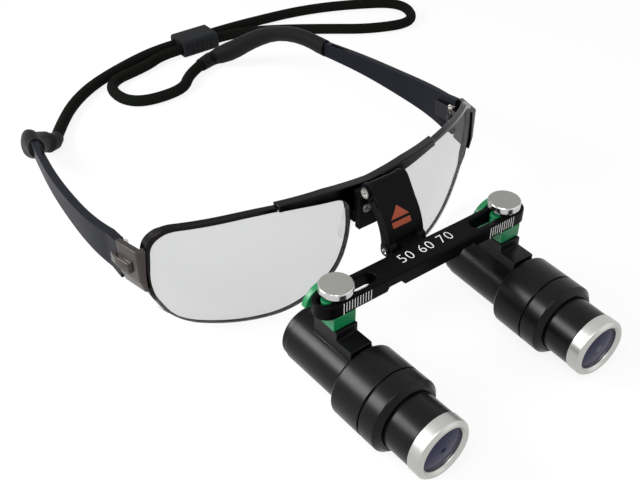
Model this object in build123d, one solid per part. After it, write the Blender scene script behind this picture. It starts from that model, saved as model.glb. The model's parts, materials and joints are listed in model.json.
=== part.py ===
"""Flip-up dental loupes on a wrap-around spectacle frame, with a head strap.

Millimetres, +Z up.  The wearer faces -Y, the wearer's right is at -X and X = 0 is the mirror plane.
The loupes stand on a table on their two barrels and on the tips of the ear sleeves.  While the pieces
are built, Y = 0 is the axis of the two clamp knobs; every node is then moved along Y so that the origin
lies under the middle of the object, on the table.
"""
import math
import os

from build123d import *

# ---------------------------------------------------------------- driving dimensions
# fits
RUNNING_GAP = 0.05        # radial gap between a pin or spigot and its hole
SEAT_GAP = 0.05           # gap between two seated faces of one body
SLIDE_GAP = 0.15          # gap between flat faces that slide or turn on each other
SWING_GAP = 0.4           # gap between faces that swing past each other
TABLE_GAP = 0.1           # height of the lowest soft surfaces above the table
CUT_REACH = 250.0         # length of a body that cuts right through others

# barrels
BARREL_R = 12.4           # main body of a barrel
PUPIL_HALF = 33.8         # knob axis from the mirror plane
TOE_IN = 2.1              # degrees each barrel points inwards
HOUSING_R = 9.6
EYE_RING_R = 9.2
EYE_RING_LENGTH = 2.8
EYE_RING_BORE = 6.3
HOUSING_BACK = 12.2       # rear face of the housing
BODY_BACK = -11.7         # rear face of the main body
BODY_FRONT = -24.2
GROOVE = 0.6
COLLAR_FRONT = -32.2
TUBE_R = 9.6
TUBE_FRONT = -41.9
LENS_RING_R = 9.85
LENS_RING_FRONT = -46.8
LENS_RING_BEVEL = 0.9
BODY_CHAMFER = 1.2
COLLAR_EDGE_SHARE = 0.6   # of the step from the collar down to the tube
TUBE_WALL = 1.2
HOUSING_WALL = 1.6
SPIGOT_LENGTH = 3.6
SPIGOT_WALL = 1.1
NECK_STEP = 0.7           # how far the neck in the groove lies below the main body
NECK_LENGTH = 2.2
GLASS_R = 7.35
GLASS_RECESS = 1.4
GLASS_THICKNESS = 2.6
GLASS_CROWN = 0.6
EYE_LENS_THICKNESS = 2.4
PRISM_CLEARANCE = 0.1     # between the prism's four long edges and the bore
PRISM_LENGTH = 13.0
POST_WIDTH = 8.0
POST_DEPTH = 10.6
FOOT_STEP = 0.0           # top of the foot above the main body

# bar, carriages and knobs
BAR_TOP = 37.4
BAR_END_HEIGHT = 4.7
BAR_MID_HEIGHT = 5.2
BAR_NOTCH_HEIGHT = 3.3
BAR_WIDTH = 8.8
BAR_MID_HALF = 11.0       # half length of the deep middle
NOTCH_LENGTH = 4.5
NOTCH_RAMP = 1.6
PUPIL_TRAVEL_IN = 9.0     # how far a carriage slides towards the middle
PUPIL_TRAVEL_OUT = 0.8
SLOT_END_GAP = 0.3        # left at each end of the slot at the end of the travel
SLOT_END_WALL = 1.6       # bar left beyond the slot
SLOT_WIDTH = 4.2
BAR_EDGE = 0.4
CARRIAGE_HEIGHT = 4.8
CARRIAGE_WIDTH = 8.1
BOSS_HALF_LENGTH = 5.0
LIP_WIDTH = 15.0
LIP_THICKNESS = 2.1
LIP_TOP = 1.0             # crown of the lip above the bar
LIP_DROP = 5.2            # lower edge of the lip below the bar
KNOB_R = 5.3
KNOB_HEIGHT = 2.6
KNOB_EDGE = 0.35
COLLAR_R = 3.9
COLLAR_HEIGHT = 1.2
STEM_R = 1.5
STEM_IN_POST = 3.5

# flip arm and its bracket
FLIP_Y = 19.5
FLIP_Z = 50.4
TILT_Y = 9.4
TILT_Z = 34.3
ARM_HALF_WIDTH = 7.0
ARM_FACE_R = 21.0         # the arm's front face is an arc
ARM_FACE_AHEAD = 4.15     # that stands this far ahead of the line between the two pivots
ARM_THICKNESS = 1.8
ARM_FLANGE_DEPTH = 4.2    # depth of the two side flanges, from the front face
ARM_FLANGE_WIDTH = 1.8
TOP_EYE_R = 2.6
TILT_EYE_R = 2.9
TONGUE_EYE_R = 2.6
TONGUE_DROP = 2.0         # lower face of the tongue below the pivot
TONGUE_WIDTH = 8.0        # bar's hinge tongue between the arm's two eyes
FLIP_PIN_R = 1.0
TILT_PIN_R = 0.9
FLIP_HEAD_R = 2.0
TILT_HEAD_R = 1.7
PIN_HEAD_HEIGHT = 0.9
EAR_THICKNESS = 1.45
EAR_R = 2.9
BRACKET_BOTTOM = 34.0
BRACKET_TOP = 47.8
BRACKET_FRONT = 22.7
BRACKET_DEPTH = 8.0       # before its back is cut to the brow
BRACKET_SCREW_X = 4.6
BRACKET_SCREW_Z = 42.0
BRACKET_SCREW_R = 1.5
BRACKET_SCREW_HEAD = 0.8
BRACKET_SCREW_SHANK = 0.8
BRACKET_SCREW_REACH = 4.2

# spectacle front
WRAP_RADIUS = 107.0       # the lenses and rims lie on one ball
WRAP_FRONT = 25.2         # foremost point of that ball
WRAP_MIDDLE_Z = 31.0
RIM_WIDTH = 1.35
RIM_DEPTH = 2.4
LENS_THICKNESS = 1.8
LENS_BITE = 0.45          # how far the lens runs into the rim's groove
BROW_PROUD = 0.5          # brow bar in front of the rims
BROW_BACK = 0.2           # and behind them
BROW_TOP = 49.1
BROW_CROWN = 0.8
SEAM_X = 31.7
NASAL_CUT_Z = 40.0
BRIDGE_BOTTOM = 35.6
# visible edge of the left lens seen from the front, (X, Z), from the nasal top corner
LENS_CORNERS = [
    (8.8, 45.3), (34.0, 47.5), (66.4, 43.4), (68.4, 21.5), (61.4, 5.8),
    (44.0, 2.3), (26.5, 3.6), (12.6, 16.5), (8.6, 31.5),
]
NASAL_CORNER_R = 5.0
TEMPORAL_CORNER_R = 9.0

# nose saddle: half widths of the arch at its top and foot
SADDLE_TOP_Z = 39.6
SADDLE_CROWN_Z = 36.4
SADDLE_FOOT_Z = 27.5
SADDLE_OUTER = [6.4, 9.4]
SADDLE_INNER = [3.2, 6.6]
SADDLE_THICKNESS = 3.2

# end pieces and hinges
END_TOP = 38.0
END_BOTTOM = 21.6
END_FACET = 4.6           # height of the sloping facet along the lower edge
END_FACET_IN = 1.3
END_OUTER = 73.2          # rear end of the outer face, from the mirror plane
END_THICKNESS = 1.8
END_FRONT_Y = 48.6        # at the rim
END_CORNER_X = 71.1
END_CORNER_Y = 49.7
END_BACK_Y = 59.8
END_CORNER_R = 2.0
TAB_TOP = 32.4            # raised bar on the end piece
TAB_BOTTOM = 28.4
TAB_FRONT_Y = 53.4
TAB_BACK_Y = 62.6
TAB_PROUD = 1.2
TAB_EDGE = 0.35
TAIL_INNER = 73.6         # inner face of the tab's tail, clear of the temple as it folds
HINGE_X = 69.6
HINGE_Y = 61.6
KNUCKLE_R = 1.35
HINGE_PIN_R = 0.7
HINGE_BOTTOM = 26.6
KNUCKLE_HEIGHT = 2.3
HINGE_SCREW_HEAD = 0.9
LEAF_BITE = 0.6           # how deep the hinge leaf is let into the temple
LEAF_THICKNESS = 0.8
LEAF_LENGTH = 9.0

# temples (left one; the other is its mirror image)
TEMPLE_FRONT_Y = 60.2
TEMPLE_THICKNESS = 2.9
# outer face in plan, (Y, X)
TEMPLE_PLAN = [(60.2, 73.0), (66.8, 73.0), (76.0, 74.2), (95.0, 74.2), (115.0, 72.6), (134.0, 69.6), (144.0, 67.9)]
# upper and lower edge in side view, (Y, Z)
TEMPLE_TOP = [(60.2, 37.4), (76.0, 35.8), (96.0, 34.2), (118.0, 33.2), (144.0, 32.1)]
TEMPLE_BOTTOM = [(60.2, 22.2), (76.0, 23.2), (96.0, 24.2), (118.0, 25.4), (144.0, 26.1)]

# ear sleeves: centre line from the mouth to the cord, (X, Y, Z)
SLEEVE_SOCKET_GAP = 0.1
SLEEVE_STEPS = 3          # sections lofted between two neighbouring points
SLEEVE_BULGE = 1.03       # how far the left sleeve's last bend reaches behind its end
LEFT_SLEEVE = [(67.3, 138.5, 29.4), (65.9, 152.0, 29.5), (63.2, 170.0, 25.8), (58.8, 186.5, 17.2),
               (52.8, 198.2, 8.6), (39.7, 203.5, 3.3)]
LEFT_HEIGHTS = [7.6, 7.2, 7.0, 8.2, 9.2, 6.4]
LEFT_WIDTHS = [6.0, 5.8, 5.8, 6.6, 7.4, 6.2]
RIGHT_SLEEVE = [(-67.3, 138.0, 29.2), (-66.3, 145.2, 28.3), (-64.2, 156.0, 20.2), (-59.2, 167.6, 12.2),
                (-52.2, 177.4, 6.8), (-44.8, 182.8, 3.3)]
RIGHT_HEIGHTS = [7.8, 9.4, 8.2, 9.2, 9.0, 6.4]
RIGHT_WIDTHS = [6.0, 6.4, 6.8, 8.0, 8.4, 6.2]

# strap cord and its slider
CORD_R = 2.6
SLIDER_X = 50.0           # middle of the slider along X
SLIDER_Y = 226.6          # between its two strands
SLIDER_LENGTH = 20.0
SLIDER_WIDTH = 14.8
SLIDER_HEIGHT = 8.6
SLIDER_FLOOR = 1.0        # rubber below the two holes
STRAND_HALF = 3.2         # each strand from the slider's middle
HOLE_CLEARANCE = 0.2      # radial, round each strand
SLIDER_TRAVEL = 5.0       # each way along the two strands
STRAND_REACH = 21.5       # point of the route past the slider, beyond its travel
SLIDER_ROUND = 2.4
SLIDER_RIBS = 5
SLIDER_RIB_PITCH = 2.6
SLIDER_RIB_WIDTH = 1.2
SLIDER_RIB_DEPTH = 0.5
# routes on the table, (X, Y)
RIGHT_ROUTE = [(-37.0, 194.5), (-25.0, 208.0), (-10.0, 218.6), (10.5, 226.8)]
BIG_LOOP = [(91.0, 230.4), (117.0, 227.0), (142.5, 217.5), (168.5, 201.5), (157.5, 177.9), (133.0, 185.5),
            (113.5, 200.5), (93.0, 215.0)]
SMALL_LOOP = [(18.4, 219.6), (-6.5, 215.1), (-5.8, 189.9), (20.5, 187.3), (31.0, 200.0)]

# ---------------------------------------------------------------- derived places
BARREL_Z = BARREL_R
PRISM_BORE = HOUSING_R - HOUSING_WALL - RUNNING_GAP - SPIGOT_WALL
PRISM_SIDE = (PRISM_BORE - PRISM_CLEARANCE) * math.sqrt(2)
COLLAR_EDGE = (BARREL_R - TUBE_R) * COLLAR_EDGE_SHARE
SLOT_INNER = PUPIL_HALF - BOSS_HALF_LENGTH - PUPIL_TRAVEL_IN - SLOT_END_GAP
SLOT_OUTER = PUPIL_HALF + BOSS_HALF_LENGTH + PUPIL_TRAVEL_OUT + SLOT_END_GAP
BAR_HALF_LENGTH = SLOT_OUTER + SLOT_END_WALL
CORD_Z = CORD_R + TABLE_GAP
SLIDER_HOLE_R = CORD_R + HOLE_CLEARANCE
STRAND_Z = SLIDER_FLOOR + SLIDER_HOLE_R
BAR_BOTTOM = BAR_TOP - BAR_END_HEIGHT
CARRIAGE_TOP = BAR_BOTTOM - SLIDE_GAP
CARRIAGE_BOTTOM = BAR_BOTTOM - CARRIAGE_HEIGHT
POST_TOP = CARRIAGE_BOTTOM - SLIDE_GAP
KNOB_BOTTOM = BAR_TOP + SLIDE_GAP + COLLAR_HEIGHT
WRAP_CENTRE_Y = WRAP_FRONT + WRAP_RADIUS
RIM_FRONT_R = WRAP_RADIUS
RIM_BACK_R = WRAP_RADIUS - RIM_DEPTH
LENS_FRONT_R = WRAP_RADIUS - (RIM_DEPTH - LENS_THICKNESS) / 2
LENS_BACK_R = LENS_FRONT_R - LENS_THICKNESS
BROW_FRONT_R = WRAP_RADIUS + BROW_PROUD
BROW_BACK_R = RIM_BACK_R - BROW_BACK
OBJECT_FRONT = LENS_RING_FRONT * math.cos(math.radians(TOE_IN)) - (
    LENS_RING_R - LENS_RING_BEVEL
) * math.sin(math.radians(TOE_IN))
OBJECT_BACK = LEFT_SLEEVE[-1][1] + LEFT_WIDTHS[-1] / 2 + SLEEVE_BULGE
ORIGIN_Y = (OBJECT_FRONT + OBJECT_BACK) / 2

SIDES = {"right": -1, "left": 1}


# ---------------------------------------------------------------- helpers
def at_side(shape, side):
    """The left-hand shape itself, or its mirror image for the wearer's right."""
    return shape if side > 0 else mirror(shape, about=Plane.YZ)


def revolved(profile, turn=360):
    """A ring of (radius, Y) corners turned about the Y axis."""
    face = make_face(Polyline(*[(r, y, 0) for r, y in profile], close=True))
    return revolve(face, axis=Axis.Y, revolution_arc=turn)


def on_barrel(shape, side):
    """Moves a piece built about the Y axis onto a toed-in barrel."""
    return Pos(side * PUPIL_HALF, 0, 0) * Rot(0, 0, -side * TOE_IN) * Pos(0, 0, BARREL_Z) * shape


def rod_x(radius, low, high, y, z):
    """A round bar along X."""
    return Pos((low + high) / 2, y, z) * Rot(0, 90, 0) * Cylinder(radius, high - low)


def rod_z(radius, low, high, x, y):
    """A round bar along Z."""
    return Pos(x, y, (low + high) / 2) * Cylinder(radius, high - low)


def block(x0, x1, y0, y1, z0, z1):
    """A box between two corners."""
    return Pos((x0 + x1) / 2, (y0 + y1) / 2, (z0 + z1) / 2) * Box(x1 - x0, y1 - y0, z1 - z0)


def ball_shell(outer, inner):
    """The part of a ball's shell that faces forwards, on the wrap of the lenses."""
    shell = Sphere(outer) - Sphere(inner)
    reach = WRAP_RADIUS * 0.82
    cut = block(-reach, reach, -WRAP_RADIUS * 1.1, -WRAP_RADIUS * 0.5, -WRAP_RADIUS * 0.4, WRAP_RADIUS * 0.4)
    return Pos(0, WRAP_CENTRE_Y, WRAP_MIDDLE_Z) * (shell & cut)


def turn_radii(points, closed=False, limits=None):
    """For each corner, 0.45 of the shorter run beside it over the tangent of half the turn."""
    count = len(points)
    corners = range(count) if closed else range(1, count - 1)
    radii = []
    for i in corners:
        before = Vector(*points[i]) - Vector(*points[i - 1])
        after = Vector(*points[(i + 1) % count]) - Vector(*points[i])
        half_turn = math.radians(before.get_angle(after)) / 2
        radius = 0.45 * min(before.length, after.length) / math.tan(half_turn)
        if limits and limits.get(i):
            radius = min(radius, limits[i])
        radii.append(radius)
    return radii


def lens_outline(grow=0.0):
    """The lens's edge, or a curve that far outside it, as a face in the XZ plane seen from the front."""
    radii = turn_radii(LENS_CORNERS, closed=True, limits={0: NASAL_CORNER_R, 2: TEMPORAL_CORNER_R})
    wire = FilletPolyline(*LENS_CORNERS, radius=radii, close=True)
    face = make_face(wire)
    if grow:
        face = offset(face, amount=grow, kind=Kind.ARC)
    return face


def front_prism(face):
    """A face drawn in (X, Z), run from front to back through the whole spectacle front."""
    placed = Plane(origin=(0, 0, 0), x_dir=(1, 0, 0), z_dir=(0, -1, 0)) * face
    return extrude(placed, amount=-(WRAP_FRONT + WRAP_RADIUS * 0.5), dir=(0, -1, 0))


def xz_polygon(points):
    """A polygon drawn in (X, Z)."""
    return make_face(Polyline(*points, close=True))


def yz_prism(points, x0, x1):
    """A polygon of (Y, Z) corners run along X."""
    face = make_face(Polyline(*[(x0, y, z) for y, z in points], close=True))
    return extrude(face, amount=x1 - x0, dir=(1, 0, 0))


# ---------------------------------------------------------------- barrels
def rear_housing():
    bore = HOUSING_R - HOUSING_WALL
    tube = revolved([(bore, BODY_BACK), (HOUSING_R, BODY_BACK), (HOUSING_R, HOUSING_BACK), (bore, HOUSING_BACK)])
    post_top = POST_TOP - BARREL_Z
    foot_top = BARREL_R + FOOT_STEP
    half = POST_WIDTH / 2
    post = block(-half, half, -POST_DEPTH / 2, POST_DEPTH / 2, 0, post_top)
    foot = block(-half, half, BODY_BACK, -POST_DEPTH / 2, 0, foot_top)
    saddle = (post + foot) - Rot(90, 0, 0) * Cylinder(HOUSING_R - HOUSING_WALL / 2, CUT_REACH)
    screw_hole = rod_z(STEM_R + RUNNING_GAP, post_top - STEM_IN_POST - RUNNING_GAP, post_top + 1, 0, 0)
    return tube + saddle - screw_hole


def eyepiece_ring():
    back = HOUSING_BACK + SEAT_GAP
    end = back + EYE_RING_LENGTH
    spigot_r = HOUSING_R - HOUSING_WALL - RUNNING_GAP
    return revolved([
        (EYE_RING_BORE, back - SPIGOT_LENGTH / 2), (spigot_r, back - SPIGOT_LENGTH / 2), (spigot_r, back),
        (EYE_RING_R, back), (EYE_RING_R, end - 0.6), (EYE_RING_R - 0.6, end),
        (EYE_RING_BORE + 1.2, end), (EYE_RING_BORE, end - 1.2),
    ])


def disc_lens(radius, back, thickness, crown):
    """A lens with two domed faces; back is where its rear dome meets its edge."""
    ball = (radius ** 2 + crown ** 2) / (2 * crown)
    disc = Pos(0, back - thickness / 2, 0) * Rot(90, 0, 0) * Cylinder(radius, thickness + 2 * crown)
    rear = Pos(0, back + crown - ball, 0) * Rot(90, 0, 0) * Sphere(ball)
    front = Pos(0, back - thickness - crown + ball, 0) * Rot(90, 0, 0) * Sphere(ball)
    return disc & rear & front


def eyepiece_lens():
    bore = HOUSING_R - HOUSING_WALL - RUNNING_GAP
    back = HOUSING_BACK - SPIGOT_LENGTH / 2 - 0.6
    return disc_lens(bore, back, EYE_LENS_THICKNESS, 0.4)


def prism():
    front = BODY_FRONT + 1.5
    body = block(-PRISM_SIDE / 2, PRISM_SIDE / 2, front, front + PRISM_LENGTH, -PRISM_SIDE / 2, PRISM_SIDE / 2)
    return body


def main_body():
    spigot_r = HOUSING_R - HOUSING_WALL - RUNNING_GAP
    bore = PRISM_BORE
    back = BODY_BACK - SEAT_GAP
    neck_r = BARREL_R - NECK_STEP
    neck_end = BODY_FRONT - NECK_LENGTH
    return revolved([
        (bore, back + SPIGOT_LENGTH), (spigot_r, back + SPIGOT_LENGTH), (spigot_r, back),
        (BARREL_R - BODY_CHAMFER, back), (BARREL_R, back - BODY_CHAMFER), (BARREL_R, BODY_FRONT),
        (neck_r, BODY_FRONT), (neck_r, neck_end), (TUBE_R + RUNNING_GAP, neck_end),
        (TUBE_R + RUNNING_GAP, BODY_FRONT + 1.0), (bore, BODY_FRONT + 1.0),
    ])


def focus_collar():
    back = BODY_FRONT - GROOVE
    bore = TUBE_R + RUNNING_GAP
    neck = BARREL_R - NECK_STEP + RUNNING_GAP
    neck_end = BODY_FRONT - NECK_LENGTH - SEAT_GAP
    return revolved([
        (bore, neck_end), (neck, neck_end), (neck, back), (BARREL_R, back), (BARREL_R, COLLAR_FRONT + COLLAR_EDGE),
        (BARREL_R - COLLAR_EDGE, COLLAR_FRONT), (bore, COLLAR_FRONT),
    ])


def objective_tube():
    bore = TUBE_R - TUBE_WALL
    back = BODY_FRONT + 1.0 - SEAT_GAP
    return revolved([(bore, back), (TUBE_R, back), (TUBE_R, TUBE_FRONT), (bore, TUBE_FRONT)])


def objective_ring():
    back = TUBE_FRONT - SEAT_GAP
    spigot = TUBE_R - TUBE_WALL - RUNNING_GAP
    bore = GLASS_R + RUNNING_GAP
    front = LENS_RING_FRONT
    return revolved([
        (bore, back + 2.0), (spigot, back + 2.0), (spigot, back), (LENS_RING_R, back),
        (LENS_RING_R, front + LENS_RING_BEVEL), (LENS_RING_R - LENS_RING_BEVEL, front),
        (GLASS_R + 0.9, front), (bore, front + 0.9),
    ])


def objective_lens():
    back = LENS_RING_FRONT + GLASS_RECESS + GLASS_THICKNESS
    return disc_lens(GLASS_R, back, GLASS_THICKNESS, GLASS_CROWN)


# ---------------------------------------------------------------- bar, carriages and knobs
def loupe_bar():
    half = BAR_HALF_LENGTH
    mid_bottom = BAR_TOP - BAR_MID_HEIGHT
    notch = BAR_TOP - BAR_NOTCH_HEIGHT
    x1 = BAR_MID_HALF
    x2 = x1 + NOTCH_RAMP
    x3 = x2 + NOTCH_LENGTH
    x4 = x3 + NOTCH_RAMP / 2
    side_view = xz_polygon([
        (-half, BAR_TOP), (half, BAR_TOP), (half, BAR_BOTTOM), (x4, BAR_BOTTOM), (x3, notch), (x2, notch),
        (x1, mid_bottom), (-x1, mid_bottom), (-x2, notch), (-x3, notch), (-x4, BAR_BOTTOM), (-half, BAR_BOTTOM),
    ])
    profile = Plane(origin=(0, BAR_WIDTH, 0), x_dir=(1, 0, 0), z_dir=(0, -1, 0)) * side_view
    slab = extrude(profile, amount=2 * BAR_WIDTH, dir=(0, -1, 0))
    plan = extrude(Pos(0, 0, mid_bottom - 1) * SlotOverall(2 * half, BAR_WIDTH), amount=BAR_TOP - mid_bottom + 2)
    bar = slab & plan
    slot_middle = (SLOT_INNER + SLOT_OUTER) / 2
    for side in SIDES.values():
        slot = Pos(side * slot_middle, 0, mid_bottom - 1) * SlotOverall(SLOT_OUTER - SLOT_INNER, SLOT_WIDTH)
        bar -= extrude(slot, amount=BAR_MID_HEIGHT + 2)
    top_edges = bar.edges().filter_by(lambda e: abs(e.bounding_box().min.Z - BAR_TOP) < 1e-4)
    bar = chamfer(top_edges, BAR_EDGE)
    tongue_half = TONGUE_WIDTH / 2
    tongue = block(-tongue_half, tongue_half, BAR_WIDTH / 2 - 0.5, TILT_Y, TILT_Z - TONGUE_DROP, TILT_Z + TONGUE_EYE_R)
    eye = rod_x(TONGUE_EYE_R, -tongue_half, tongue_half, TILT_Y, TILT_Z)
    hole = rod_x(TILT_PIN_R + RUNNING_GAP, -tongue_half - 1, tongue_half + 1, TILT_Y, TILT_Z)
    return bar + tongue + eye - hole


def carriage():
    """The sliding clamp block: a body under the bar, a boss in its slot and a lip up its back."""
    half = CARRIAGE_WIDTH / 2
    back = BAR_WIDTH / 2 + SLIDE_GAP
    body = block(-half, half, -BAR_WIDTH / 2, back + LIP_THICKNESS, CARRIAGE_BOTTOM, CARRIAGE_TOP)
    boss_width = SLOT_WIDTH - 2 * SLIDE_GAP
    boss_top = BAR_TOP - 0.4
    boss = extrude(Pos(0, 0, CARRIAGE_TOP) * SlotOverall(2 * BOSS_HALF_LENGTH, boss_width), amount=boss_top - CARRIAGE_TOP)
    lip_half = LIP_WIDTH / 2
    crown = BAR_TOP + LIP_TOP
    shoulder = crown - lip_half * 0.75
    outline = [
        Edge.make_line((-lip_half, back, BAR_TOP - LIP_DROP), (lip_half, back, BAR_TOP - LIP_DROP)),
        Edge.make_line((lip_half, back, BAR_TOP - LIP_DROP), (lip_half, back, shoulder)),
        Edge.make_three_point_arc((lip_half, back, shoulder), (0, back, crown), (-lip_half, back, shoulder)),
        Edge.make_line((-lip_half, back, shoulder), (-lip_half, back, BAR_TOP - LIP_DROP)),
    ]
    lip = extrude(make_face(Wire(outline)), amount=LIP_THICKNESS, dir=(0, 1, 0))
    web = block(-half, half, back, back + LIP_THICKNESS, CARRIAGE_BOTTOM, BAR_TOP - LIP_DROP + 1)
    hole = rod_z(STEM_R + RUNNING_GAP, CARRIAGE_BOTTOM - 1, BAR_TOP + 1, 0, 0)
    return body + boss + lip + web - hole


def knob():
    """A thumb screw: a flat head, a collar that clamps the bar and a stem that runs down into the post."""
    collar_bottom = BAR_TOP + SLIDE_GAP
    head = chamfer(rod_z(KNOB_R, KNOB_BOTTOM, KNOB_BOTTOM + KNOB_HEIGHT, 0, 0).edges().filter_by(GeomType.CIRCLE), KNOB_EDGE)
    collar = rod_z(COLLAR_R, collar_bottom, KNOB_BOTTOM + 0.1, 0, 0)
    stem = rod_z(STEM_R, POST_TOP - STEM_IN_POST, collar_bottom + 0.1, 0, 0)
    return head + collar + stem


# ---------------------------------------------------------------- flip arm and bracket
def arm_strip(depth, half_width):
    """A bowed strip of that depth behind the arm's front face, run along X and cut off at the two pivots."""
    top = Vector(0, FLIP_Y, FLIP_Z)
    bottom = Vector(0, TILT_Y, TILT_Z)
    chord = bottom - top
    ahead = Vector(0, chord.Z, -chord.Y).normalized()
    middle = (top + bottom) * 0.5
    centre = middle + ahead * (ARM_FACE_AHEAD - ARM_FACE_R)
    ring = Cylinder(ARM_FACE_R, 2 * half_width) - Cylinder(ARM_FACE_R - depth, 2 * half_width)
    ring = Pos(centre.X, centre.Y, centre.Z) * Rot(0, 90, 0) * ring
    tip = middle + ahead * (ARM_FACE_AHEAD + ARM_FACE_R)
    past_top = top + (top - centre) * 0.4
    past_bottom = bottom + (bottom - centre) * 0.4
    corners = [centre, past_top, tip, past_bottom]
    return ring & yz_prism([(c.Y, c.Z) for c in corners], -half_width, half_width)


def flip_arm():
    """A bowed channel with an eye between the bracket's ears and two lugs round the bar's tongue."""
    half = ARM_HALF_WIDTH
    body = arm_strip(ARM_THICKNESS, half)
    inside = half - ARM_FLANGE_WIDTH
    body += arm_strip(ARM_FLANGE_DEPTH, half) - block(-inside, inside, 0, CUT_REACH, 0, CUT_REACH)
    body += rod_x(TILT_EYE_R, -half, half, TILT_Y, TILT_Z)
    ear_room = half - EAR_THICKNESS - SLIDE_GAP
    for side in SIDES.values():
        low, high = sorted((side * ear_room, side * (half + 1)))
        body -= rod_x(EAR_R + SWING_GAP, low, high, FLIP_Y, FLIP_Z)
    body += rod_x(TOP_EYE_R, -ear_room, ear_room, FLIP_Y, FLIP_Z)
    room = TONGUE_WIDTH / 2 + SLIDE_GAP
    body -= block(-room, room, 0, TILT_Y + 2 * TILT_EYE_R, 0, TILT_Z + TILT_EYE_R + SWING_GAP)
    body -= rod_x(FLIP_PIN_R + RUNNING_GAP, -half - 1, half + 1, FLIP_Y, FLIP_Z)
    body -= rod_x(TILT_PIN_R + RUNNING_GAP, -half - 1, half + 1, TILT_Y, TILT_Z)
    return body


def headed_pin(radius, head_radius, y, z):
    """A pin along X with a screw head at each end, just outside the arm's two sides."""
    reach = ARM_HALF_WIDTH + SEAT_GAP
    pin = rod_x(radius, -reach, reach, y, z)
    for side in SIDES.values():
        low, high = sorted((side * reach, side * (reach + PIN_HEAD_HEIGHT)))
        pin += rod_x(head_radius, low, high, y, z)
    return pin


def flip_pin():
    return headed_pin(FLIP_PIN_R, FLIP_HEAD_R, FLIP_Y, FLIP_Z)


def tilt_pin():
    return headed_pin(TILT_PIN_R, TILT_HEAD_R, TILT_Y, TILT_Z)


def mount_bracket():
    """A plate screwed to the bridge, with two round ears that carry the flip pin."""
    outer = ARM_HALF_WIDTH
    inner = outer - EAR_THICKNESS
    back = BRACKET_FRONT + BRACKET_DEPTH
    bracket = block(-outer, outer, BRACKET_FRONT, back, BRACKET_BOTTOM, BRACKET_TOP)
    root = BRACKET_FRONT + EAR_THICKNESS
    web = [
        (FLIP_Y, FLIP_Z + EAR_R), (root, BRACKET_TOP), (root, FLIP_Z - EAR_R - EAR_THICKNESS),
        (FLIP_Y, FLIP_Z - EAR_R),
    ]
    for side in SIDES.values():
        low, high = sorted((side * inner, side * outer))
        bracket += yz_prism(web, low, high) + rod_x(EAR_R, low, high, FLIP_Y, FLIP_Z)
    bracket -= Pos(0, WRAP_CENTRE_Y, WRAP_MIDDLE_Z) * Sphere(BROW_FRONT_R + SEAT_GAP)
    bracket -= rod_x(FLIP_PIN_R + RUNNING_GAP, -outer - 1, outer + 1, FLIP_Y, FLIP_Z)
    for side in SIDES.values():
        bracket -= screw_rod(side, BRACKET_SCREW_SHANK + RUNNING_GAP, BRACKET_FRONT - 1, back + 1)
    return bracket


def screw_rod(side, radius, low, high):
    """A round bar along Y at a bracket screw."""
    middle = (low + high) / 2
    return Pos(side * BRACKET_SCREW_X, middle, BRACKET_SCREW_Z) * Rot(90, 0, 0) * Cylinder(radius, high - low)


def bracket_screws():
    screws = []
    for side in SIDES.values():
        seat = BRACKET_FRONT - SEAT_GAP
        head = screw_rod(side, BRACKET_SCREW_R, seat - BRACKET_SCREW_HEAD, seat)
        shank = screw_rod(side, BRACKET_SCREW_SHANK, seat - 0.1, BRACKET_FRONT + BRACKET_SCREW_REACH)
        screws.append(head + shank)
    return Compound(children=screws)


# ---------------------------------------------------------------- spectacle front
def lens():
    return front_prism(lens_outline(LENS_BITE)) & ball_shell(LENS_FRONT_R, LENS_BACK_R)


def lens_groove():
    groove = front_prism(lens_outline(LENS_BITE + SEAT_GAP))
    return groove & ball_shell(LENS_FRONT_R + SEAT_GAP, LENS_BACK_R - SEAT_GAP)


def brow_zone(low_grow):
    """The stretch between the two seams where the brow bar takes the rims' place."""
    reach = SEAM_X - low_grow
    return block(-reach, reach, 0, WRAP_CENTRE_Y, NASAL_CUT_Z + low_grow, CUT_REACH)


def rim():
    ring = front_prism(lens_outline(RIM_WIDTH)) - front_prism(lens_outline())
    ring = ring & ball_shell(RIM_FRONT_R, RIM_BACK_R)
    return ring - lens_groove() - brow_zone(0)


def brow_bar():
    """Brow and bridge in one piece, grooved for both lenses."""
    top_middle = BROW_TOP - BROW_CROWN
    outline = xz_polygon([
        (-SEAM_X, NASAL_CUT_Z), (-SEAM_X, BROW_TOP), (-SEAM_X / 2, BROW_TOP + BROW_CROWN / 2), (0, top_middle + 0.4),
        (SEAM_X / 2, BROW_TOP + BROW_CROWN / 2), (SEAM_X, BROW_TOP), (SEAM_X, NASAL_CUT_Z),
    ])
    bar = front_prism(outline) & ball_shell(BROW_FRONT_R, BROW_BACK_R) & brow_zone(SEAT_GAP)
    bridge_half = LENS_CORNERS[0][0] - RIM_WIDTH + 1.2
    bridge = front_prism(xz_polygon([
        (-bridge_half, BRIDGE_BOTTOM), (-bridge_half, NASAL_CUT_Z + 2), (bridge_half, NASAL_CUT_Z + 2),
        (bridge_half, BRIDGE_BOTTOM),
    ])) & ball_shell(BROW_FRONT_R, BROW_BACK_R)
    bar += bridge
    for side in SIDES.values():
        bar -= at_side(front_prism(lens_outline()), side)
        bar -= at_side(lens_groove(), side)
        rim_room = front_prism(lens_outline(RIM_WIDTH + SEAT_GAP)) - block(0, CUT_REACH, 0, CUT_REACH, NASAL_CUT_Z, CUT_REACH)
        bar -= at_side(rim_room, side)
    for side in SIDES.values():
        bar -= screw_rod(side, BRACKET_SCREW_SHANK + RUNNING_GAP, 0, WRAP_RADIUS / 2)
    return bar


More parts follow.
